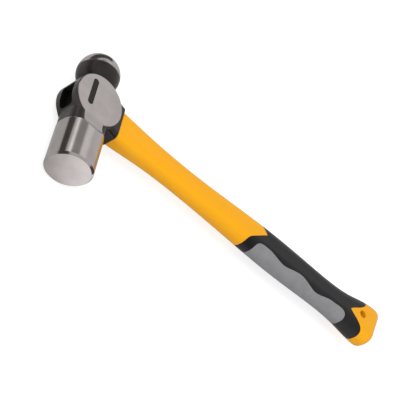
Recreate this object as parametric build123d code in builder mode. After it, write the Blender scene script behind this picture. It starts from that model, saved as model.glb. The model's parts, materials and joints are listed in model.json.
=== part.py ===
from build123d import *
import math
import os

# Ball peen hammer lying on its side, in millimetres.
# +X runs along the handle from the head to the butt, +Y from the striking face to the ball,
# and +Z is square to the cheeks. The origin is under the middle of the whole hammer, on the surface
# that the barrel lies on. Sizes along the handle and along the head are counted from the head's
# centre, where the two axes cross.

# Head: barrel and striking face
face_reach = 69.9
face_radius = 20.0
face_bevel = 1.7
barrel_rear_radius = 19.7
barrel_rear_reach = 32.1
flare_depth = 10.5
flare_root_radius = 13.2
flare_radius = 16.8

# Head: ball, and the neck that carries it
ball_radius = 18.3
ball_reach = 34.1
peen_neck_radius = 13.4

# Head: round cheeks, and the crown that carries the eye's opening
block_radius = 23.2
block_along_handle = 0.8
block_towards_face = 0.8
cheek_half_thickness = 14.0
cheek_chamfer = 0.9
crown_radius = 22.3
crown_towards_face = 4.6
crown_half_thickness = 13.1
crown_chamfer = 1.8

# Head: neck behind the barrel, and the ground run-out from each cheek up onto the barrel
neck_half_height = 17.9
neck_corner = 8.4
runout_start = 20.5
runout_reach = 36.8

# Head: skirt round the handle
skirt_reach = 28.7
skirt_towards_face = 0.8
skirt_root_reach = 12.6
skirt_root_half_width = 16.8
skirt_root_half_thickness = 13.5
skirt_half_width = 17.1
skirt_half_thickness = 9.9
skirt_corner = 4.8
skirt_chamfer = 0.9

# Head: plain bar sunk into each cheek
bar_length = 26.9
bar_width = 5.3
bar_depth = 0.5
bar_along_handle = -7.7
bar_along_head = 1.5

# Eye, the hole for the handle: full widths along the head, and full thicknesses. It draws in from its
# waist towards the crown on the ball's side, which locks the resin in.
eye_top_width = 21.5
eye_top_thickness = 14.9
eye_top_towards_face = 6.5
eye_top_round = 6.0
eye_waist_width = 26.3
eye_waist_thickness = 13.7
eye_mouth_width = 28.4
eye_mouth_thickness = 14.3
eye_corner = 4.2
eye_towards_face = 1.5
eye_overrun = 2.0

# What holds the handle in the eye
resin_drop = 2.4
resin_over_core = 1.6
seal_reach = 13.7
seal_thickness = 3.2
plug_clearance = 0.15

# Fibreglass core, a flat-sided oval rod with room round it in the eye
core_room_along_head = 4.1
core_room_across = 1.05
core_wall_gap = 0.7
core_end_gap = 12.6

# Handle: place of each section, then half width, half thickness, corner radius and
# how far its middle stands from the handle axis towards the striking face. Places called "reach" are
# counted from the head's centre; places called "back" are counted back from the handle's end.
handle_reach = 351.6
shoulder_section = (15.1, 9.1, 5.3, 1.8)
throat_reach = 63.0
throat_section = (13.3, 9.3, 8.0, 1.4)
waist_reach = 103.0
waist_section = (12.3, 9.2, 8.4, 1.2)
rise_section = (13.3, 9.9, 9.1, 0.8)
swell_back = 159.6
swell_section = (14.8, 11.1, 10.0, 0.4)
palm_back = 117.6
palm_section = (15.1, 11.3, 10.2, 0.4)
pinch_back = 75.6
pinch_section = (14.2, 10.8, 9.9, 0.0)
heel_back = 42.1
heel_section = (15.7, 11.4, 10.3, -0.7)
butt_back = 14.6
butt_section = (20.1, 12.2, 10.7, -1.7)
end_section = (19.6, 11.6, 10.5, -1.7)
end_tilt = 11.0
end_round = 7.4

# Grip: rubber sleeve with a softer insert along its striking side. Side is counted towards the ball.
grip_wall = 2.3
grip_back = 170.9
grip_shoulder_back = 165.2
grip_shoulder_side = -6.6
grip_tongue_back = 151.7
grip_tongue_side = 3.1
grip_peen_back = 158.6
grip_end_back = 21.2
grip_notch_back = 40.0
grip_notch_side = -1.4
grip_notch_shoulder_back = 27.6
grip_notch_shoulder_side = -9.7
grip_prong_back = 26.5
grip_prong_side = 8.2
insert_back = 160.2
insert_end_back = 43.2
insert_nose_back = 147.6
insert_nose_side = -8.4
insert_wave_side = -9.6
insert_wave_depth = 1.6
insert_wave_pitch = 43.0
insert_waves = 2

# Hanging hole through the middle of the butt
hang_hole_radius = 3.7
hang_hole_back = 24.8

# Place of the head's centre in the hammer's own frame
head_top = max(block_radius - block_along_handle, crown_radius)
head_x = (head_top - handle_reach) / 2
head_y = (face_reach - ball_reach - ball_radius) / 2
axis_z = face_radius
outside = 2 * face_radius

# Plane of the butt's slanted end, set so that its rounded corner reaches as far as the handle does
end_half_width = end_section[0]
end_towards_face = end_section[3]
end_slope = math.radians(end_tilt)
end_side = end_half_width - end_towards_face - end_round
end_reach = handle_reach - end_round - end_side * math.tan(end_slope) + end_round / math.cos(end_slope)

end_plane = Plane(
    origin=(head_x + end_reach, head_y - end_towards_face, axis_z),
    x_dir=(math.sin(end_slope), math.cos(end_slope), 0),
    z_dir=(math.cos(end_slope), -math.sin(end_slope), 0),
)
side_plane = Plane(origin=(head_x, head_y, axis_z), x_dir=(1, 0, 0), z_dir=(0, 0, 1))
head_axis = Axis((head_x, head_y, axis_z), (0, 1, 0))


def from_end(back):
    """Reach of a place that is counted back from the handle's end."""
    return handle_reach - back


def across_handle(reach, towards_face=0.0):
    """Plane square to the handle: its x runs towards the ball and its y away from the floor."""
    return Plane(
        origin=(head_x + reach, head_y - towards_face, axis_z), x_dir=(0, 1, 0), z_dir=(1, 0, 0)
    )


def across_head(reach):
    """Plane square to the head, its normal towards the striking face and its x along the handle."""
    return Plane(origin=(head_x, head_y - reach, axis_z), x_dir=(1, 0, 0), z_dir=(0, -1, 0))


def oblong(plane, half_width, half_thickness, corner):
    """Rectangle with round corners on a plane, the section of the handle."""
    with BuildSketch(plane) as section:
        RectangleRounded(2 * half_width, 2 * half_thickness, corner)
    return section.sketch


def eye_outline(plane, width, thickness, corner, ball_corner):
    """Outline of the eye on a plane, with its own corner radius on the ball's side."""
    with BuildSketch(plane) as section:
        Rectangle(width, thickness)
        sides = section.vertices().group_by(Axis.X)
        fillet(sides[0], corner)
        fillet(sides[-1], ball_corner)
    return section.sketch


def eye_section(reach, width, thickness, inset=0.0):
    """Section of the eye below its top, drawn in by the inset."""
    plane = across_handle(reach, eye_towards_face)
    corner = eye_corner - inset
    return eye_outline(plane, width - 2 * inset, thickness - 2 * inset, corner, corner)


def handle_sections(inset=0.0):
    """Sections of the handle from its shoulder to its slanted end, each drawn in by the inset."""
    stations = [
        (across_handle(skirt_reach, shoulder_section[3]), shoulder_section),
        (across_handle(throat_reach, throat_section[3]), throat_section),
        (across_handle(waist_reach, waist_section[3]), waist_section),
        (across_handle((waist_reach + from_end(swell_back)) / 2, rise_section[3]), rise_section),
        (across_handle(from_end(swell_back), swell_section[3]), swell_section),
        (across_handle(from_end(palm_back), palm_section[3]), palm_section),
        (across_handle(from_end(pinch_back), pinch_section[3]), pinch_section),
        (across_handle(from_end(heel_back), heel_section[3]), heel_section),
        (across_handle(from_end(butt_back), butt_section[3]), butt_section),
        (end_plane, end_section),
    ]
    return [
        oblong(plane, half_width - inset, half_thickness - inset, corner - inset)
        for plane, (half_width, half_thickness, corner, _) in stations
    ]


def drum(radius, along_handle, towards_face, half_thickness, rim_chamfer):
    """Short drum standing across the head, with both its rims chamfered."""
    with BuildPart() as block:
        with BuildSketch(side_plane):
            with Locations((along_handle, -towards_face)):
                Circle(radius)
        extrude(amount=half_thickness, both=True)
        chamfer(block.edges().filter_by(GeomType.CIRCLE), rim_chamfer)
    return block.part


os.makedirs("parts", exist_ok=True)

# Eye: the space that the head, the resin, the seal and the handle's plug all share
eye_waist = eye_section(0, eye_waist_width, eye_waist_thickness)
eye_top = eye_outline(
    across_handle(-head_top - eye_overrun, eye_top_towards_face),
    eye_top_width,
    eye_top_thickness,
    eye_corner,
    eye_top_round,
)
eye_mouth = eye_section(skirt_reach + eye_overrun, eye_mouth_width, eye_mouth_thickness)
with BuildPart() as eye_space:
    loft(sections=[eye_top, eye_waist])
    loft(sections=[eye_waist, eye_mouth])

# Core: the rod runs from inside the resin, where the eye's leaning wall leaves room for it, to short of
# the hanging hole
eye_top_reach = eye_top_width / 2 + eye_top_towards_face - crown_towards_face
resin_top = resin_drop - math.sqrt(crown_radius**2 - eye_top_reach**2)
eye_draw_in = (eye_waist_width - eye_top_width) / 2 + eye_top_towards_face - eye_towards_face
wall_lean = eye_draw_in / (head_top + eye_overrun)
core_top = max(resin_top + resin_over_core, (core_wall_gap - core_room_along_head) / wall_lean)
core_bottom = from_end(hang_hole_back) - hang_hole_radius - core_end_gap
core_width = eye_waist_width - 2 * core_room_along_head
core_thickness = eye_waist_thickness - 2 * core_room_across
with BuildPart() as handle_core:
    with BuildSketch(across_handle(core_top, eye_towards_face)):
        SlotOverall(core_width, core_thickness)
    extrude(amount=core_bottom - core_top)

# Run-out: the band behind the barrel that is ground level with the cheeks, and what is ground off it
runout_half_width = neck_half_height - neck_corner
with BuildPart() as runout_band:
    with BuildSketch(across_head(0)):
        Circle(barrel_rear_radius)
    extrude(amount=barrel_rear_reach)
    with BuildSketch(across_head(0)):
        Rectangle(2 * runout_half_width, 2 * outside)
    extrude(amount=barrel_rear_reach, mode=Mode.INTERSECT)
with BuildPart() as runout_cut:
    with BuildSketch(across_handle(0)):
        with BuildLine():
            Line((0, outside), (0, cheek_half_thickness))
            Line((0, cheek_half_thickness), (-runout_start, cheek_half_thickness))
            TangentArc(
                (-runout_start, cheek_half_thickness), (-runout_reach, face_radius), tangent=(-1, 0)
            )
            Line((-runout_reach, face_radius), (-runout_reach, outside))
            Line((-runout_reach, outside), (0, outside))
        make_face()
        mirror(about=Plane.XZ)
    extrude(amount=runout_half_width, both=True)

# Hammer head
cheeks = drum(
    block_radius, block_along_handle, block_towards_face, cheek_half_thickness, cheek_chamfer
)
crown = drum(crown_radius, 0, crown_towards_face, crown_half_thickness, crown_chamfer)
with BuildPart() as hammer_head:
    add(cheeks)
    add(crown)

    # Skirt that runs down to the handle's shoulder
    with BuildSketch(across_handle(skirt_root_reach, skirt_towards_face)):
        RectangleRounded(2 * skirt_root_half_width, 2 * skirt_root_half_thickness, skirt_corner)
    with BuildSketch(across_handle(skirt_reach, skirt_towards_face)):
        RectangleRounded(2 * skirt_half_width, 2 * skirt_half_thickness, skirt_corner)
    loft()
    skirt_rim = hammer_head.faces().sort_by(Axis.X)[-1].edges()
    chamfer(skirt_rim, skirt_chamfer)

    # Neck between the cheeks and the barrel
    with BuildSketch(across_head(0)):
        RectangleRounded(2 * neck_half_height, 2 * cheek_half_thickness, neck_corner)
    extrude(amount=barrel_rear_reach)

    # Barrel, flaring out of the neck, with the bevel round its striking face
    with BuildSketch(side_plane):
        with BuildLine():
            Polyline(
                (0, flare_depth - barrel_rear_reach),
                (0, -face_reach),
                (face_radius - face_bevel, -face_reach),
                (face_radius, face_bevel - face_reach),
                (barrel_rear_radius, -barrel_rear_reach),
            )
            RadiusArc(
                (barrel_rear_radius, -barrel_rear_reach),
                (flare_root_radius, flare_depth - barrel_rear_reach),
                flare_radius,
            )
            Line(
                (flare_root_radius, flare_depth - barrel_rear_reach),
                (0, flare_depth - barrel_rear_reach),
            )
        make_face()
    revolve(axis=head_axis)

    # Run-out from each cheek up onto the barrel
    add(runout_band.part)
    add(runout_cut.part, mode=Mode.SUBTRACT)

    # Ball on its short neck
    with BuildSketch(across_head(0)):
        Circle(peen_neck_radius)
    extrude(amount=-ball_reach)
    with Locations((head_x, head_y + ball_reach, axis_z)):
        Sphere(ball_radius)

    # Eye, and the plain bar sunk into each cheek
    add(eye_space.part, mode=Mode.SUBTRACT)
    for cheek in (-cheek_half_thickness, cheek_half_thickness):
        with BuildSketch(side_plane.offset(cheek)):
            with Locations((bar_along_handle, bar_along_head)):
                SlotOverall(bar_length, bar_width, rotation=90)
        extrude(amount=bar_depth, both=True, mode=Mode.SUBTRACT)
hammer_head.part.label = "hammer_head"
export_step(hammer_head.part, "parts/hammer_head.step")

# Handle skin: the outer shape that the jacket and both grip pieces share, rounded at the butt
with BuildPart() as handle_skin:
    loft(sections=handle_sections())
    fillet(handle_skin.faces().sort_by(Axis.X)[-1].edges(), end_round)

# Seat that the grip is moulded on, one grip wall under the skin
with BuildPart() as grip_seat:
    loft(sections=handle_sections(grip_wall))

# Room for the whole grip: a tongue of the jacket runs into its front edge, and a notch into its back
grip_start = from_end(grip_back)
grip_peen_start = from_end(grip_peen_back)
grip_end = from_end(grip_end_back)
with BuildPart() as grip_room:
    with BuildSketch(side_plane):
        with BuildLine():
            Line((grip_start, -outside), (grip_start, -swell_section[0]))
            Spline(
                (grip_start, -swell_section[0]),
                (from_end(grip_shoulder_back), grip_shoulder_side),
                (from_end(grip_tongue_back), grip_tongue_side),
                tangents=[(0, 1), (3, 2)],
            )
            Spline(
                (from_end(grip_tongue_back), grip_tongue_side),
                (grip_peen_start, swell_section[0]),
                tangents=[(-1, 1), (0, 1)],
            )
            Polyline(
                (grip_peen_start, swell_section[0]),
                (grip_peen_start, outside),
                (grip_end, outside),
                (grip_end, butt_section[0]),
            )
            Spline(
                (grip_end, butt_section[0]),
                (from_end(grip_prong_back), grip_prong_side),
                (from_end(grip_notch_back), grip_notch_side),
                tangents=[(0, -1), (-1, -1)],
            )
            Spline(
                (from_end(grip_notch_back), grip_notch_side),
                (from_end(grip_notch_shoulder_back), grip_notch_shoulder_side),
                (grip_end, -butt_section[0]),
                tangents=[(1, -1), (0, -1)],
            )
            Polyline((grip_end, -butt_section[0]), (grip_end, -outside), (grip_start, -outside))
        make_face()
    extrude(amount=outside, both=True)
    add(grip_seat.part, mode=Mode.SUBTRACT)

# Room for the insert, with its wavy edge along the side of the handle: a nose, then troughs and crests
crest_side = insert_wave_side + insert_wave_depth
trough_side = insert_wave_side - insert_wave_depth
insert_start = from_end(insert_back)
insert_end = from_end(insert_end_back)
insert_nose = from_end(insert_nose_back)
wave = [(insert_nose, insert_nose_side)]
for crest in range(1, insert_waves + 1):
    reach = insert_nose + crest * insert_wave_pitch
    wave.append((reach - insert_wave_pitch / 2, trough_side))
    wave.append((reach, crest_side))
with BuildPart() as insert_room:
    with BuildSketch(side_plane):
        with BuildLine():
            Line((insert_start, -outside), (insert_start, -swell_section[0]))
            Spline(
                (insert_start, -swell_section[0]),
                *wave,
                (insert_end, -heel_section[0]),
                tangents=[(0, 1)] + [(1, 0)] * len(wave) + [(0, -1)],
            )
            Polyline(
                (insert_end, -heel_section[0]), (insert_end, -outside), (insert_start, -outside)
            )
        make_face()
    extrude(amount=outside, both=True)

# Handle jacket: plastic moulded round the core, with the plug that goes up into the eye
seal_bottom = seal_reach + seal_thickness
with BuildPart() as handle_jacket:
    add(handle_skin.part)
    add(grip_room.part, mode=Mode.SUBTRACT)
    loft(
        sections=[
            eye_section(0, eye_waist_width, eye_waist_thickness, plug_clearance),
            eye_section(skirt_reach, eye_mouth_width, eye_mouth_thickness, plug_clearance),
        ]
    )
    split(bisect_by=across_handle(seal_bottom), keep=Keep.TOP)
    add(handle_core.part, mode=Mode.SUBTRACT)
    with BuildSketch(side_plane):
        with Locations((from_end(hang_hole_back), -butt_section[3])):
            Circle(hang_hole_radius)
    extrude(amount=outside, both=True, mode=Mode.SUBTRACT)
handle_jacket.part.label = "handle_jacket"
export_step(handle_jacket.part, "parts/handle_jacket.step")

# Rubber sleeve
with BuildPart() as grip_sleeve:
    add(handle_skin.part)
    add(grip_room.part, mode=Mode.INTERSECT)
    add(insert_room.part, mode=Mode.SUBTRACT)
grip_sleeve.part.label = "grip_sleeve"
export_step(grip_sleeve.part, "parts/grip_sleeve.step")

# Softer insert
with BuildPart() as grip_insert:
    add(handle_skin.part)
    add(grip_room.part, mode=Mode.INTERSECT)
    add(insert_room.part, mode=Mode.INTERSECT)
grip_insert.part.label = "grip_insert"
export_step(grip_insert.part, "parts/grip_insert.step")

# Fibreglass core
handle_core.part.label = "handle_core"
export_step(handle_core.part, "parts/handle_core.step")

# Seal that keeps the resin in the eye while it sets
with BuildPart() as eye_seal:
    add(eye_space.part)
    split(bisect_by=across_handle(seal_reach), keep=Keep.TOP)
    split(bisect_by=across_handle(seal_bottom), keep=Keep.BOTTOM)
    add(handle_core.part, mode=Mode.SUBTRACT)
eye_seal.part.label = "eye_seal"
export_step(eye_seal.part, "parts/eye_seal.step")

# Resin that bonds the core into the eye
with BuildPart() as eye_resin:
    add(eye_space.part)
    split(bisect_by=across_handle(resin_top), keep=Keep.TOP)
    split(bisect_by=across_handle(seal_reach), keep=Keep.BOTTOM)
    add(handle_core.part, mode=Mode.SUBTRACT)
eye_resin.part.label = "eye_resin"
export_step(eye_resin.part, "parts/eye_resin.step")
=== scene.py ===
import json
import math

import bmesh
import bpy
from mathutils import Matrix, Vector


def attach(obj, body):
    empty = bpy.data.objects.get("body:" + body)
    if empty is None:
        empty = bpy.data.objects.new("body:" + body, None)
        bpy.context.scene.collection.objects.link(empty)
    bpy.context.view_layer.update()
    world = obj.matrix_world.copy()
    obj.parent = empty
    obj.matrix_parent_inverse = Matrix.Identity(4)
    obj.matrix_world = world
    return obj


bl_info = {
    "name": "Ball Peen Hammer",
    "version": (1, 0, 0),
    "blender": (4, 5, 0),
    "location": "View3D > Sidebar > Hammer",
    "description": "Finishes a ball peen hammer: polished and lacquered head, yellow jacket, rubber grip",
    "category": "Object",
}

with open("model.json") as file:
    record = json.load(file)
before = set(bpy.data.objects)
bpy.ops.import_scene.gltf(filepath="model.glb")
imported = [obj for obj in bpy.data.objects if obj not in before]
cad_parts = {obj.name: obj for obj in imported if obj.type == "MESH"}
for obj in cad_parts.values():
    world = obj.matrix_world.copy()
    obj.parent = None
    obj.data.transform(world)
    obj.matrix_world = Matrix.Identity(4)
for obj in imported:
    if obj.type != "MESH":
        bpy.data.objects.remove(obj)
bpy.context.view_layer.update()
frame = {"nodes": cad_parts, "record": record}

MM = 0.001
mounts = {mount["name"]: mount for mount in frame["record"]["mounts"]}
face_point = Vector(mounts["striking_face"]["pos_m"])
hole_point = Vector(mounts["hanging_hole"]["pos_m"])

LACQUER_HAZE = (0.022, 0.017, 0.016)
YELLOW_LIGHT = (0.81, 0.385, 0.003)
PARTING_BROWN = (0.55, 0.2, 0.004)
EDGE_SOFTNESS = 0.15

# The enamel sags towards its middle: width of each step and how far it drops, in millimetres
ENAMEL_STEPS = ((0.12, 0.03), (0.5, 0.07), (0.7, 0.03))

# The dark curtain is a part of a ring round the head, in degrees
CURTAIN_START = 75
CURTAIN_TURN = 277

# Soft panels on the studio walls: direction, outer and inner half angle in degrees, and how much
# each adds to the surround's brightness
STUDIO_PANELS = (
    ((-0.595, 0.640, 0.484), 6.0, 4.0, 0.75),
    ((-0.298, 0.640, 0.708), 17.0, 11.0, -0.38),
    ((0.175, 0.640, 0.748), 18.0, 2.0, 0.30),
)


def length(name, description, default):
    """A length in metres that the sidebar shows in the scene's units."""
    return bpy.props.FloatProperty(
        name=name, description=description, default=default, unit="LENGTH", precision=5
    )


def factor(name, description, default):
    """A share from 0 to 1."""
    return bpy.props.FloatProperty(
        name=name, description=description, default=default, min=0, max=1, subtype="FACTOR"
    )


def colour(name, description, default):
    """A linear colour."""
    return bpy.props.FloatVectorProperty(
        name=name, description=description, default=default, size=3, min=0, max=1, subtype="COLOR"
    )


class HeadFinish(bpy.types.PropertyGroup):
    """Where the head is polished, and the colours of its steel and lacquer."""

    face_reach: length("Face reach", "From the head's centre to the striking face", 69.9 * MM)
    steel: colour("Steel", "Polished steel", (0.47, 0.43, 0.42))
    steel_roughness: factor("Steel roughness", "Roughness of the polish", 0.15)
    lacquer: colour("Lacquer", "Dark lacquer on the forged parts", (0.0115, 0.009, 0.0085))
    crown_lacquer: colour("Crown lacquer", "Thinner lacquer over the ground crown", (0.034, 0.028, 0.027))
    lacquer_roughness: factor("Lacquer roughness", "Roughness of the lacquer", 0.24)
    enamel: colour("Enamel", "Enamel in the cheek bars", (0.009, 0.0065, 0.006))
    eye_painted_shade: colour("Eye black", "Resin film on the walls of the eye", (0.003, 0.003, 0.003))
    ball_line: length("Ball line", "Lacquer ends this far behind the head's centre", 34.0 * MM)
    barrel_line: length("Barrel line", "Barrel polish starts this far from the head's centre", 31.3 * MM)
    barrel_creep: length("Barrel creep", "How much further the polish runs back on the sides", 2.0 * MM)
    cheek_radius: length("Cheek radius", "Radius of the ground cheek", 22.75 * MM)
    cheek_offset: length("Cheek offset", "Cheek's centre, along the handle and towards the face", 0.8 * MM)
    cheek_level: length("Cheek level", "Half thickness over the ground cheeks", 13.45 * MM)
    band_half_width: length("Band half width", "Half width of the ground run-out", 9.75 * MM)
    band_level: length("Band level", "Half thickness where the run-out is ground", 13.7 * MM)
    # Painted shade: the walls of the deep eye are coloured near-black where shade falls
    eye_half_thickness: length("Eye half thickness", "Half of the eye across the head", 7.7 * MM)
    eye_face_wall: length("Eye face wall", "Eye's wall on the face's side, from the head's centre", 14.5 * MM)
    eye_face_lean: factor("Eye face lean", "How much that wall leans out towards the crown", 0.107)
    eye_ball_wall: length("Eye ball wall", "Eye's wall on the ball's side, from the head's centre", 11.5 * MM)
    eye_ball_lean: factor("Eye ball lean", "How much that wall leans in towards the crown", 0.303)


class EnamelBar(bpy.types.PropertyGroup):
    """The enamel that fills the plain bar sunk into each cheek."""

    length: length("Length", "Length of the recess along the head", 26.9 * MM)
    width: length("Width", "Width of the recess", 5.3 * MM)
    along_handle: length("Along handle", "Recess middle from the head's centre, towards the crown", 7.7 * MM)
    along_head: length("Along head", "Recess middle from the head's centre, towards the ball", 1.5 * MM)
    floor_level: length("Floor level", "Half thickness at the recess floor", 13.5 * MM)
    thickness: length("Thickness", "Depth of the enamel", 0.32 * MM)
    clearance: length("Clearance", "Gap to the recess wall", 0.04 * MM)


class HandleFinish(bpy.types.PropertyGroup):
    """Colours of the jacket, the core, the resin and the seal."""

    yellow: colour("Yellow", "Moulded jacket", (0.80, 0.355, 0.0012))
    yellow_deep: colour("Deep yellow", "Where the jacket is thick or scuffed", (0.785, 0.335, 0.0012))
    yellow_roughness: factor("Jacket roughness", "Roughness of the jacket", 0.34)
    parting_width: length("Parting line", "Width of the jacket's parting line", 0.35 * MM)
    fibreglass: colour("Fibreglass", "Bare core", (0.62, 0.56, 0.36))
    resin: colour("Resin", "Cast resin in the eye", (0.004, 0.004, 0.004))
    seal: colour("Seal", "Seal rubber", (0.03, 0.03, 0.03))


class GripFinish(bpy.types.PropertyGroup):
    """Colours of the two rubbers of the grip."""

    black: colour("Black rubber", "Sleeve", (0.005, 0.0042, 0.0052))
    grey: colour("Grey rubber", "Insert", (0.225, 0.225, 0.235))
    black_roughness: factor("Sleeve roughness", "Roughness of the sleeve", 0.5)
    grey_roughness: factor("Insert roughness", "Roughness of the insert", 0.62)
    grain: length("Grain", "Depth of the moulded grain", 0.03 * MM)


class StudioSettings(bpy.types.PropertyGroup):
    """Floor, lights and camera."""

    lens: bpy.props.FloatProperty(
        name="Lens", description="Focal length in millimetres", default=134.865, min=20, max=400
    )
    camera_place: bpy.props.FloatVectorProperty(
        name="Camera place",
        description="Camera from the head's centre",
        default=(-0.44879, -0.80205, 0.76323),
        size=3,
        subtype="XYZ",
        unit="LENGTH",
    )
    camera_forward: bpy.props.FloatVectorProperty(
        name="Camera forward",
        description="Direction that the camera looks in",
        default=(0.46385, 0.64034, -0.61221),
        size=3,
        subtype="DIRECTION",
    )
    camera_up: bpy.props.FloatVectorProperty(
        name="Camera up",
        description="Direction that is up in the picture",
        default=(-0.5579, 0.74795, 0.35961),
        size=3,
        subtype="DIRECTION",
    )
    floor_size: length("Floor size", "Side of the floor", 6.0)
    floor_glow: factor("Floor glow", "Light that the lit table gives off", 0.76)
    table_dim: factor("Table dim", "Light that the table throws on the hammer's far side", 0.26)
    table_bright: factor("Table bright", "Light that the table throws on the striking face", 1.0)
    curtain_radius: length("Curtain radius", "Dark curtain round the head", 0.21)
    curtain_height: length("Curtain height", "Top of the dark curtain", 0.1)
    surround: factor("Surround", "Brightness of the studio around the hammer", 0.78)
    key_power: bpy.props.FloatProperty(
        name="Key power", description="Power of the large soft light in watts", default=9.0, min=0
    )
    fill_power: bpy.props.FloatProperty(
        name="Fill power", description="Power of the fill light in watts", default=4.0, min=0
    )


# Node building: every material below is put together with these few calls.


def new_material(name):
    """An empty material with its output and one shader."""
    made = bpy.data.materials.new(name)
    made.use_nodes = True
    tree = made.node_tree
    tree.nodes.clear()
    output = tree.nodes.new("ShaderNodeOutputMaterial")
    shader = tree.nodes.new("ShaderNodeBsdfPrincipled")
    tree.links.new(shader.outputs["BSDF"], output.inputs["Surface"])
    return made, tree, shader


def add_node(tree, kind, inputs=(), **settings):
    """Adds a node. Each input is given as (socket, value), and a value may be another node's output."""
    made = tree.nodes.new(kind)
    for setting, value in settings.items():
        setattr(made, setting, value)
    for socket, value in inputs:
        if isinstance(value, bpy.types.NodeSocket):
            tree.links.new(value, made.inputs[socket])
        else:
            made.inputs[socket].default_value = value
    return made


def place(tree, centre=(0, 0, 0), stretch=(1, 1, 1)):
    """Object coordinates in millimetres, counted from a centre given in metres, and stretched."""
    coordinates = add_node(tree, "ShaderNodeTexCoord")
    scale = [1000 * s for s in stretch]
    mapping = add_node(
        tree,
        "ShaderNodeMapping",
        [
            ("Vector", coordinates.outputs["Object"]),
            ("Scale", scale),
            ("Location", [-c * s for c, s in zip(centre, scale)]),
        ],
    )
    return mapping.outputs["Vector"]


def math_of(tree, operation, first, second=0.0):
    """One step of arithmetic on numbers."""
    return add_node(
        tree, "ShaderNodeMath", [(0, first), (1, second)], operation=operation
    ).outputs[0]


def step_of(tree, value, low, high, to_low=0.0, to_high=1.0):
    """A soft step from to_low to to_high as the value goes from low to high."""
    return add_node(
        tree,
        "ShaderNodeMapRange",
        [
            ("Value", value),
            ("From Min", low),
            ("From Max", high),
            ("To Min", to_low),
            ("To Max", to_high),
        ],
        interpolation_type="SMOOTHSTEP",
    ).outputs["Result"]


def noise_of(tree, vector, scale, detail=2.0, roughness=0.5):
    """Cloudy noise from 0 to 1."""
    return add_node(
        tree,
        "ShaderNodeTexNoise",
        [("Vector", vector), ("Scale", scale), ("Detail", detail), ("Roughness", roughness)],
    ).outputs["Fac"]


def cells_of(tree, vector, scale):
    """Distance to the nearest of many scattered points."""
    return add_node(
        tree, "ShaderNodeTexVoronoi", [("Vector", vector), ("Scale", scale)], feature="F1"
    ).outputs["Distance"]


def mixed(tree, share, first, second):
    """Blend of two colours, each a plain colour or a node's output."""
    made = tree.nodes.new("ShaderNodeMix")
    made.data_type = "RGBA"
    for socket, value in ((made.inputs[0], share), (made.inputs[6], first), (made.inputs[7], second)):
        if isinstance(value, bpy.types.NodeSocket):
            tree.links.new(value, socket)
        elif socket.type == "RGBA":
            socket.default_value = (*value, 1.0)
        else:
            socket.default_value = value
    return made.outputs[2]


def bumped(tree, height, depth, below=None):
    """Relief of a given depth in metres, laid over the relief below it."""
    inputs = [("Height", height), ("Distance", depth), ("Strength", 1.0)]
    if below is not None:
        inputs.append(("Normal", below))
    return add_node(tree, "ShaderNodeBump", inputs).outputs["Normal"]


def feed(tree, shader, **sockets):
    """Sets or links the shader's own sockets; an underscore in a name stands for a space."""
    for name, value in sockets.items():
        socket = shader.inputs[name.replace("_", " ")]
        if isinstance(value, bpy.types.NodeSocket):
            tree.links.new(value, socket)
        elif socket.type == "RGBA":
            socket.default_value = (*value, 1.0)
        else:
            socket.default_value = value


def dress(node_name, material):
    """Gives a CAD node its finish."""
    mesh = frame["nodes"][node_name].data
    mesh.materials.clear()
    mesh.materials.append(material)


def head_centre(finish):
    """Where the axes of the head and the handle cross."""
    return face_point + Vector((0, finish.face_reach, 0))


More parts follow.
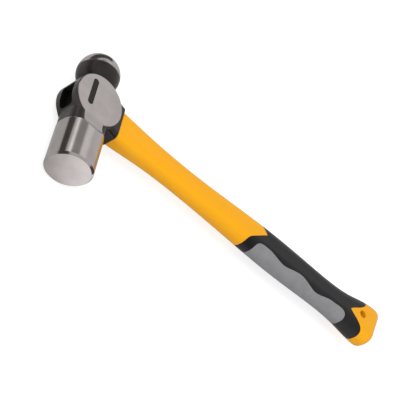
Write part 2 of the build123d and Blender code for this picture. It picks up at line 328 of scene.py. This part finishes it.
def head_material(finish):
    """Polished steel with dark lacquer left on the forged parts."""
    made, tree, shader = new_material("polished_and_lacquered_steel")
    centre = head_centre(finish)
    point = place(tree, centre)
    split = add_node(tree, "ShaderNodeSeparateXYZ", [("Vector", point)])
    along_handle, to_ball, across = split.outputs
    to_face = math_of(tree, "MULTIPLY", to_ball, -1.0)
    level = math_of(tree, "ABSOLUTE", across)
    sideways = math_of(tree, "ABSOLUTE", along_handle)

    # The lacquer's edge wanders a little
    cloud = noise_of(tree, point, 0.22, 3.0)
    wander = math_of(tree, "MULTIPLY", math_of(tree, "SUBTRACT", cloud, 0.5), 1.4)

    def mm(value):
        return value / MM

    ball = step_of(
        tree,
        math_of(tree, "ADD", to_ball, wander),
        mm(finish.ball_line) - 0.3,
        mm(finish.ball_line) + 0.3,
    )
    creep = step_of(tree, level, 1.0, 9.0, mm(finish.barrel_creep), 0.0)
    barrel = step_of(
        tree,
        math_of(tree, "ADD", to_face, creep),
        mm(finish.barrel_line) - EDGE_SOFTNESS,
        mm(finish.barrel_line) + EDGE_SOFTNESS,
    )

    disc_x = math_of(tree, "SUBTRACT", along_handle, mm(finish.cheek_offset))
    disc_y = math_of(tree, "SUBTRACT", to_face, mm(finish.cheek_offset))
    disc = math_of(
        tree,
        "SQRT",
        math_of(
            tree,
            "ADD",
            math_of(tree, "MULTIPLY", disc_x, disc_x),
            math_of(tree, "MULTIPLY", disc_y, disc_y),
        ),
    )
    disc_edge = mm(finish.cheek_radius)
    cheek_edge = mm(finish.cheek_level)
    in_disc = step_of(tree, disc, disc_edge - 0.1, disc_edge + 0.1, 1.0, 0.0)
    on_cheek = step_of(tree, level, cheek_edge - 0.05, cheek_edge + 0.05)
    cheek = math_of(tree, "MULTIPLY", in_disc, on_cheek)
    in_band = step_of(
        tree, sideways, mm(finish.band_half_width) - 0.1, mm(finish.band_half_width) + 0.1, 1.0, 0.0
    )
    on_band = step_of(tree, level, mm(finish.band_level) - 0.1, mm(finish.band_level) + 0.1)
    before_ball = step_of(tree, to_face, 10.0, 12.0)
    band = math_of(tree, "MULTIPLY", math_of(tree, "MULTIPLY", in_band, on_band), before_ball)
    bare = math_of(
        tree, "MAXIMUM", math_of(tree, "MAXIMUM", ball, barrel), math_of(tree, "MAXIMUM", cheek, band)
    )

    # The eye's two end walls lean towards the face on their way up to the crown
    face_wall = mm(finish.eye_face_wall)
    ball_wall = mm(finish.eye_ball_wall)
    side_wall = mm(finish.eye_half_thickness)
    rise = math_of(tree, "MAXIMUM", math_of(tree, "MULTIPLY", along_handle, -1.0), 0.0)
    from_face_wall = math_of(
        tree, "SUBTRACT", to_face, math_of(tree, "MULTIPLY", rise, finish.eye_face_lean)
    )
    from_ball_wall = math_of(
        tree, "SUBTRACT", to_face, math_of(tree, "MULTIPLY", rise, finish.eye_ball_lean)
    )
    in_eye = math_of(
        tree,
        "MULTIPLY",
        math_of(
            tree,
            "MULTIPLY",
            step_of(tree, from_face_wall, face_wall, face_wall + EDGE_SOFTNESS, 1.0, 0.0),
            step_of(tree, from_ball_wall, -ball_wall - EDGE_SOFTNESS, -ball_wall),
        ),
        step_of(tree, level, side_wall - EDGE_SOFTNESS, side_wall, 1.0, 0.0),
    )
    bare = math_of(tree, "MULTIPLY", bare, math_of(tree, "SUBTRACT", 1.0, in_eye))

    # Lathe marks run round the barrel, and grinding marks run along the handle on the cheeks
    turned = noise_of(tree, place(tree, centre, (0.02, 3.2, 0.02)), 1.0, 3.0, 0.6)
    ground = noise_of(tree, place(tree, centre, (0.05, 3.0, 0.3)), 1.0, 3.0, 0.6)
    marks = add_node(
        tree, "ShaderNodeMix", [(0, math_of(tree, "MAXIMUM", cheek, band)), (2, turned), (3, ground)]
    ).outputs[0]
    stain = noise_of(tree, point, 0.07, 4.0, 0.55)
    steel = mixed(
        tree,
        step_of(tree, math_of(tree, "ADD", stain, math_of(tree, "MULTIPLY", marks, 0.15)), 0.4, 0.75),
        [0.9 * c for c in finish.steel],
        finish.steel,
    )
    forged = noise_of(tree, point, 0.16, 4.0, 0.6)
    on_crown = step_of(tree, along_handle, -17.0, -11.0, 1.0, 0.0)
    lacquer = mixed(
        tree,
        math_of(tree, "MULTIPLY", on_crown, step_of(tree, forged, 0.25, 0.7, 0.55, 1.0)),
        finish.lacquer,
        finish.crown_lacquer,
    )
    lacquer = mixed(tree, step_of(tree, forged, 0.3, 0.75, 0.0, 0.35), lacquer, LACQUER_HAZE)
    base = mixed(tree, bare, lacquer, steel)
    # Painted shade: inside the eye the walls are coloured near-black in place of lacquer and steel
    base = mixed(tree, in_eye, base, finish.eye_painted_shade)

    steel_rough = step_of(
        tree, marks, 0.2, 0.8, finish.steel_roughness - 0.02, finish.steel_roughness + 0.04
    )
    lacquer_rough = step_of(
        tree, forged, 0.2, 0.8, finish.lacquer_roughness - 0.06, finish.lacquer_roughness + 0.1
    )
    rough = add_node(
        tree, "ShaderNodeMix", [(0, bare), (2, lacquer_rough), (3, steel_rough)]
    ).outputs[0]

    coat = math_of(tree, "SUBTRACT", 1.0, bare)
    relief = bumped(tree, coat, 0.04 * MM)
    relief = bumped(tree, math_of(tree, "MULTIPLY", coat, forged), 0.25 * MM, relief)
    peel = noise_of(tree, point, 1.1, 2.0)
    relief = bumped(tree, math_of(tree, "MULTIPLY", coat, peel), 0.02 * MM, relief)
    relief = bumped(tree, math_of(tree, "MULTIPLY", bare, marks), 0.00012 * MM, relief)
    waves = noise_of(tree, point, 0.09, 1.0)
    relief = bumped(tree, math_of(tree, "MULTIPLY", bare, waves), 0.03 * MM, relief)
    feed(
        tree,
        shader,
        Base_Color=base,
        Metallic=bare,
        Roughness=rough,
        Normal=relief,
        Specular_IOR_Level=0.3,
    )
    return made


def enamel_material(finish):
    """Black enamel, brushed into the cheek bars."""
    made, tree, shader = new_material("bar_enamel")
    point = place(tree, head_centre(finish))
    cloud = noise_of(tree, point, 0.5, 3.0)
    lighter = [1.5 * c for c in finish.enamel]
    base = mixed(tree, step_of(tree, cloud, 0.3, 0.7), finish.enamel, lighter)
    feed(
        tree,
        shader,
        Base_Color=base,
        Roughness=step_of(tree, cloud, 0.2, 0.8, 0.34, 0.5),
        Normal=bumped(tree, noise_of(tree, point, 1.6, 2.0), 0.02 * MM),
        Specular_IOR_Level=0.25,
    )
    return made


def jacket_material(finish):
    """Yellow moulded plastic with a faint flow pattern and a parting line."""
    made, tree, shader = new_material("yellow_moulded_plastic")
    point = place(tree, hole_point)
    flow = noise_of(tree, place(tree, hole_point, (0.012, 0.09, 0.09)), 1.0, 3.0)
    cloud = noise_of(tree, point, 0.35, 4.0, 0.55)
    scratches = noise_of(tree, place(tree, hole_point, (0.6, 0.15, 0.15)), 1.0, 5.0, 0.7)
    scuff = step_of(tree, scratches, 0.62, 0.74)
    across = add_node(tree, "ShaderNodeSeparateXYZ", [("Vector", point)]).outputs[2]
    line_width = finish.parting_width / MM
    line = step_of(
        tree, math_of(tree, "ABSOLUTE", across), 0.3 * line_width, 0.6 * line_width, 1.0, 0.0
    )
    base = mixed(tree, step_of(tree, flow, 0.3, 0.75), finish.yellow, finish.yellow_deep)
    base = mixed(tree, step_of(tree, cloud, 0.35, 0.8, 0.0, 0.3), base, YELLOW_LIGHT)
    base = mixed(tree, math_of(tree, "MULTIPLY", line, 0.25), base, PARTING_BROWN)
    rough = math_of(
        tree,
        "ADD",
        step_of(
            tree, cloud, 0.25, 0.75, finish.yellow_roughness - 0.05, finish.yellow_roughness + 0.05
        ),
        math_of(tree, "MULTIPLY", scuff, 0.1),
    )
    relief = bumped(tree, noise_of(tree, point, 0.06, 1.0), 0.12 * MM)
    relief = bumped(tree, noise_of(tree, point, 2.4, 3.0), 0.012 * MM, relief)
    relief = bumped(tree, line, 0.06 * MM, relief)
    feed(tree, shader, Base_Color=base, Roughness=rough, Normal=relief, Specular_IOR_Level=0.2)
    return made


def rubber_material(name, base_colour, worn_colour, roughness, grain, sheen):
    """Moulded rubber with a fine leathery grain, and painted shade in the grain's valleys."""
    made, tree, shader = new_material(name)
    point = place(tree, hole_point)
    cloud = noise_of(tree, point, 0.12, 4.0, 0.6)
    pebbles = cells_of(tree, point, 1.5)
    grains = math_of(tree, "SUBTRACT", 1.0, step_of(tree, pebbles, 0.0, 0.55))
    base = mixed(tree, step_of(tree, cloud, 0.35, 0.75), base_colour, worn_colour)
    # Painted shade: the valleys between the pebbles of the grain are coloured darker
    valley_shade = [0.7 * c for c in base_colour]
    base = mixed(tree, step_of(tree, pebbles, 0.35, 0.8, 0.0, 0.4), base, valley_shade)
    rough = step_of(tree, cloud, 0.25, 0.75, roughness - 0.05, roughness + 0.07)
    relief = bumped(tree, cloud, 0.1 * MM)
    relief = bumped(tree, grains, grain, relief)
    feed(
        tree,
        shader,
        Base_Color=base,
        Roughness=rough,
        Normal=relief,
        Sheen_Weight=sheen,
        Sheen_Roughness=0.5,
        Sheen_Tint=(1.0, 0.94, 0.9),
        Specular_IOR_Level=0.22,
    )
    return made


def core_material(finish):
    """Pultruded fibreglass: long strands in clear resin."""
    made, tree, shader = new_material("pultruded_fibreglass")
    strands = noise_of(tree, place(tree, hole_point, (0.01, 1.6, 1.6)), 1.0, 4.0, 0.6)
    darker = [0.75 * c for c in finish.fibreglass]
    base = mixed(tree, step_of(tree, strands, 0.3, 0.7), darker, finish.fibreglass)
    feed(
        tree,
        shader,
        Base_Color=base,
        Roughness=step_of(tree, strands, 0.2, 0.8, 0.4, 0.6),
        Normal=bumped(tree, strands, 0.05 * MM),
    )
    return made


def resin_material(finish):
    """Black cast resin, glossy, with a few trapped bubbles."""
    made, tree, shader = new_material("black_cast_resin")
    point = place(tree, face_point)
    bubbles = step_of(tree, cells_of(tree, point, 0.4), 0.06, 0.16)
    swirl = noise_of(tree, point, 0.3, 3.0)
    lighter = [2.0 * c for c in finish.resin]
    base = mixed(tree, step_of(tree, swirl, 0.3, 0.7), finish.resin, lighter)
    relief = bumped(tree, swirl, 0.2 * MM)
    feed(
        tree,
        shader,
        Base_Color=base,
        Roughness=step_of(tree, swirl, 0.2, 0.8, 0.22, 0.34),
        Normal=bumped(tree, bubbles, 0.1 * MM, relief),
        Specular_IOR_Level=0.1,
    )
    return made


def keep_mesh(name, shape, material):
    """Turns a finished bmesh into a piece that rides on the hammer."""
    mesh = bpy.data.meshes.new(name)
    shape.to_mesh(mesh)
    shape.free()
    piece = bpy.data.objects.new(name, mesh)
    bpy.context.scene.collection.objects.link(piece)
    mesh.materials.append(material)
    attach(piece, "root")


class HAMMER_OT_head(bpy.types.Operator):
    """Polish the head's faces and lacquer its forged parts"""

    bl_idname = "hammer.head"
    bl_label = "Head"

    def execute(self, context):
        dress("hammer_head", head_material(context.scene.hammer_head_finish))
        return {"FINISHED"}


class HAMMER_OT_bars(bpy.types.Operator):
    """Fill the bar sunk into each cheek with enamel"""

    bl_idname = "hammer.bars"
    bl_label = "Enamel bars"

    def execute(self, context):
        finish = context.scene.hammer_head_finish
        bar = context.scene.hammer_enamel_bar
        material = enamel_material(finish)
        centre = head_centre(finish) + Vector((-bar.along_handle, bar.along_head, 0))
        half_width = bar.width / 2 - bar.clearance
        straight = bar.length - bar.width
        for name, side in (("cheek_bar_enamel_upper", 1), ("cheek_bar_enamel_lower", -1)):
            shape = bmesh.new()
            bmesh.ops.create_circle(shape, cap_ends=True, segments=64, radius=half_width)
            for vert in shape.verts:
                vert.co.y += math.copysign(straight / 2, vert.co.y)
            floor = shape.faces[:]
            raised = bmesh.ops.extrude_face_region(shape, geom=floor)
            top = [part for part in raised["geom"] if isinstance(part, bmesh.types.BMVert)]
            bmesh.ops.translate(shape, vec=(0, 0, bar.thickness), verts=top)
            cap = [part for part in raised["geom"] if isinstance(part, bmesh.types.BMFace)]
            for inset, drop in ENAMEL_STEPS:
                bmesh.ops.inset_region(
                    shape, faces=cap, thickness=inset * MM, depth=0, use_even_offset=True
                )
                lowered = {vert for face in cap for vert in face.verts}
                bmesh.ops.translate(shape, vec=(0, 0, -drop * MM), verts=list(lowered))
            bmesh.ops.remove_doubles(shape, verts=shape.verts, dist=0.001 * MM)
            bmesh.ops.recalc_face_normals(shape, faces=shape.faces)
            if side < 0:
                bmesh.ops.rotate(shape, matrix=Matrix.Rotation(math.pi, 3, "Y"), verts=shape.verts)
            shift = centre + Vector((0, 0, side * bar.floor_level))
            bmesh.ops.translate(shape, vec=shift, verts=shape.verts)
            for face in shape.faces:
                face.smooth = True
            keep_mesh(name, shape, material)
        return {"FINISHED"}


class HAMMER_OT_handle(bpy.types.Operator):
    """Finish the jacket, the core, the resin and the seal"""

    bl_idname = "hammer.handle"
    bl_label = "Handle"

    def execute(self, context):
        finish = context.scene.hammer_handle_finish
        dress("handle_jacket", jacket_material(finish))
        dress("handle_core", core_material(finish))
        dress("eye_resin", resin_material(finish))
        worn = [1.3 * c for c in finish.seal]
        dress("eye_seal", rubber_material("seal_rubber", finish.seal, worn, 0.6, 0.02 * MM, 0.1))
        return {"FINISHED"}


class HAMMER_OT_grip(bpy.types.Operator):
    """Finish the rubber sleeve and its softer insert"""

    bl_idname = "hammer.grip"
    bl_label = "Grip"

    def execute(self, context):
        finish = context.scene.hammer_grip_finish
        black = rubber_material(
            "black_rubber",
            finish.black,
            [1.7 * c for c in finish.black],
            finish.black_roughness,
            finish.grain,
            0.12,
        )
        grey = rubber_material(
            "grey_rubber",
            finish.grey,
            [0.88 * c for c in finish.grey],
            finish.grey_roughness,
            finish.grain,
            0.1,
        )
        dress("grip_sleeve", black)
        dress("grip_insert", grey)
        return {"FINISHED"}


class HAMMER_OT_studio(bpy.types.Operator):
    """Set out the floor, the lights and the camera"""

    bl_idname = "hammer.studio"
    bl_label = "Studio"

    def execute(self, context):
        scene = context.scene
        settings = scene.hammer_studio
        centre = head_centre(scene.hammer_head_finish)
        self.floor(settings)
        self.surround(scene, settings)
        self.curtain(settings, centre)
        self.lights(scene, settings, centre)
        self.camera(scene, settings, centre)
        scene.view_settings.view_transform = "Standard"
        scene.view_settings.look = "None"
        return {"FINISHED"}

    def floor(self, settings):
        """Pale lit table that the hammer lies on."""
        shape = bmesh.new()
        bmesh.ops.create_grid(shape, x_segments=2, y_segments=2, size=settings.floor_size / 2)
        bmesh.ops.translate(shape, vec=(0, 0, -0.02 * MM), verts=shape.verts)
        mesh = bpy.data.meshes.new("floor")
        shape.to_mesh(mesh)
        shape.free()
        floor = bpy.data.objects.new("floor", mesh)
        bpy.context.scene.collection.objects.link(floor)
        made, tree, shader = new_material("pale_table")
        cloud = noise_of(tree, place(tree), 0.01, 2.0)
        spot = add_node(tree, "ShaderNodeSeparateXYZ", [("Vector", place(tree, face_point))])
        beside = step_of(tree, spot.outputs[0], -30.0, 45.0)
        ahead = step_of(tree, spot.outputs[1], 20.0, -10.0)
        pool = math_of(tree, "MULTIPLY", beside, ahead)
        thrown = step_of(tree, pool, 0.0, 1.0, settings.table_dim, settings.table_bright)
        seen = add_node(tree, "ShaderNodeLightPath").outputs["Is Camera Ray"]
        glow = add_node(
            tree, "ShaderNodeMix", [(0, seen), (2, thrown), (3, settings.floor_glow)]
        ).outputs[0]
        feed(
            tree,
            shader,
            Base_Color=mixed(tree, cloud, (0.33, 0.33, 0.33), (0.36, 0.36, 0.36)),
            Roughness=0.6,
            Emission_Color=(1.0, 1.0, 1.0),
            Emission_Strength=glow,
        )
        mesh.materials.append(made)

    def curtain(self, settings, centre):
        """Dark curtain round the table, which only the polished steel sees."""
        shape = bmesh.new()
        low = shape.verts.new((0, 0, 0))
        high = shape.verts.new((0, 0, settings.curtain_height))
        edge = shape.edges.new((low, high))
        turn = Matrix.Rotation(math.radians(CURTAIN_START), 3, "Z")
        start = turn @ Vector((settings.curtain_radius, 0, 0))
        bmesh.ops.translate(shape, vec=start, verts=shape.verts)
        bmesh.ops.spin(
            shape,
            geom=[low, high, edge],
            cent=(0, 0, 0),
            axis=(0, 0, 1),
            angle=math.radians(CURTAIN_TURN),
            steps=60,
            use_duplicate=False,
        )
        bmesh.ops.translate(shape, vec=(centre.x, centre.y, 0), verts=shape.verts)
        mesh = bpy.data.meshes.new("curtain")
        shape.to_mesh(mesh)
        shape.free()
        curtain = bpy.data.objects.new("curtain", mesh)
        bpy.context.scene.collection.objects.link(curtain)
        made, tree, shader = new_material("dark_curtain")
        # Painted shade of folds: the flat curtain gets darker and lighter upright streaks. It also has a
        # faint warm glow, which is painted light.
        painted_fold_shade = noise_of(tree, place(tree, centre, (1, 1, 0.1)), 0.02, 2.0)
        feed(
            tree,
            shader,
            Base_Color=mixed(tree, painted_fold_shade, (0.02, 0.018, 0.018), (0.035, 0.03, 0.03)),
            Roughness=0.9,
            Emission_Color=(1.0, 0.85, 0.82),
            Emission_Strength=0.05,
        )
        mesh.materials.append(made)
        curtain.visible_camera = False
        curtain.visible_diffuse = False
        curtain.visible_shadow = False
        curtain.visible_transmission = False

    def surround(self, scene, settings):
        """Studio walls: an even grey with soft lighter and darker panels."""
        world = bpy.data.worlds.new("studio")
        scene.world = world
        world.use_nodes = True
        tree = world.node_tree
        tree.nodes.clear()
        output = tree.nodes.new("ShaderNodeOutputWorld")
        towards = add_node(tree, "ShaderNodeTexCoord").outputs["Generated"]
        level = settings.surround
        for direction, outer, inner, change in STUDIO_PANELS:
            facing = add_node(
                tree,
                "ShaderNodeVectorMath",
                [(0, towards), (1, Vector(direction).normalized())],
                operation="DOT_PRODUCT",
            ).outputs["Value"]
            patch = step_of(
                tree, facing, math.cos(math.radians(outer)), math.cos(math.radians(inner)), 0.0, change
            )
            level = math_of(tree, "ADD", level, patch)
        level = math_of(tree, "MAXIMUM", level, 0.02)
        seen = add_node(tree, "ShaderNodeBackground", [("Color", (1, 1, 1, 1)), ("Strength", 1.0)])
        lit = add_node(tree, "ShaderNodeBackground", [("Color", (1, 1, 1, 1)), ("Strength", level)])
        path = add_node(tree, "ShaderNodeLightPath")
        blend = add_node(
            tree,
            "ShaderNodeMixShader",
            [(0, path.outputs["Is Camera Ray"]), (1, lit.outputs[0]), (2, seen.outputs[0])],
        )
        tree.links.new(blend.outputs[0], output.inputs["Surface"])

    def lights(self, scene, settings, centre):
        """Large soft key over the camera's left shoulder, and a fill from its right."""
        middle = Vector((0, centre.y, centre.z))
        for name, power, size, offset in (
            ("key_light", settings.key_power, 0.9, Vector((-0.75, -0.25, 1.15))),
            ("fill_light", settings.fill_power, 1.0, Vector((0.9, -0.9, 0.9))),
        ):
            light = bpy.data.lights.new(name, "AREA")
            light.energy = power
            light.size = size
            lamp = bpy.data.objects.new(name, light)
            lamp.location = middle + offset
            lamp.rotation_euler = (-offset).to_track_quat("-Z", "Y").to_euler()
            lamp.visible_glossy = False
            scene.collection.objects.link(lamp)

    def camera(self, scene, settings, centre):
        """Long lens that looks down at the striking face, with the handle running away to the right."""
        lens = bpy.data.cameras.new("camera")
        lens.lens = settings.lens
        lens.sensor_width = 36.0
        lens.clip_start = 0.05
        lens.clip_end = 20.0
        camera = bpy.data.objects.new("camera", lens)
        back = -Vector(settings.camera_forward).normalized()
        right = Vector(settings.camera_up).cross(back).normalized()
        up = back.cross(right)
        turn = Matrix((right, up, back)).transposed().to_4x4()
        camera.matrix_world = Matrix.Translation(centre + Vector(settings.camera_place)) @ turn
        scene.collection.objects.link(camera)
        scene.camera = camera


class HAMMER_PT_panel(bpy.types.Panel):
    """Lists the hammer's pieces and their finishes"""

    bl_label = "Ball peen hammer"
    bl_idname = "HAMMER_PT_panel"
    bl_space_type = "VIEW_3D"
    bl_region_type = "UI"
    bl_category = "Hammer"

    def draw(self, context):
        layout = self.layout
        for label, name, operators in (
            ("Head", "hammer_head_finish", ("hammer.head", "hammer.bars")),
            ("Enamel bars", "hammer_enamel_bar", ()),
            ("Handle", "hammer_handle_finish", ("hammer.handle",)),
            ("Grip", "hammer_grip_finish", ("hammer.grip",)),
            ("Studio", "hammer_studio", ("hammer.studio",)),
        ):
            box = layout.box()
            box.label(text=label)
            settings = getattr(context.scene, name)
            for key in settings.bl_rna.properties.keys():
                if key not in ("rna_type", "name"):
                    box.prop(settings, key)
            for operator in operators:
                box.operator(operator)


SETTINGS = (
    ("hammer_head_finish", HeadFinish),
    ("hammer_enamel_bar", EnamelBar),
    ("hammer_handle_finish", HandleFinish),
    ("hammer_grip_finish", GripFinish),
    ("hammer_studio", StudioSettings),
)
STEPS = (HAMMER_OT_head, HAMMER_OT_bars, HAMMER_OT_handle, HAMMER_OT_grip, HAMMER_OT_studio)


def register():
    for name, group in SETTINGS:
        bpy.utils.register_class(group)
        setattr(bpy.types.Scene, name, bpy.props.PointerProperty(type=group))
    for step in STEPS:
        bpy.utils.register_class(step)
    bpy.utils.register_class(HAMMER_PT_panel)


def unregister():
    bpy.utils.unregister_class(HAMMER_PT_panel)
    for step in reversed(STEPS):
        bpy.utils.unregister_class(step)
    for name, group in reversed(SETTINGS):
        delattr(bpy.types.Scene, name)
        bpy.utils.unregister_class(group)


def main():
    register()
    bpy.ops.hammer.head()
    bpy.ops.hammer.bars()
    bpy.ops.hammer.handle()
    bpy.ops.hammer.grip()
    bpy.ops.hammer.studio()


if __name__ == "__main__":
    main()
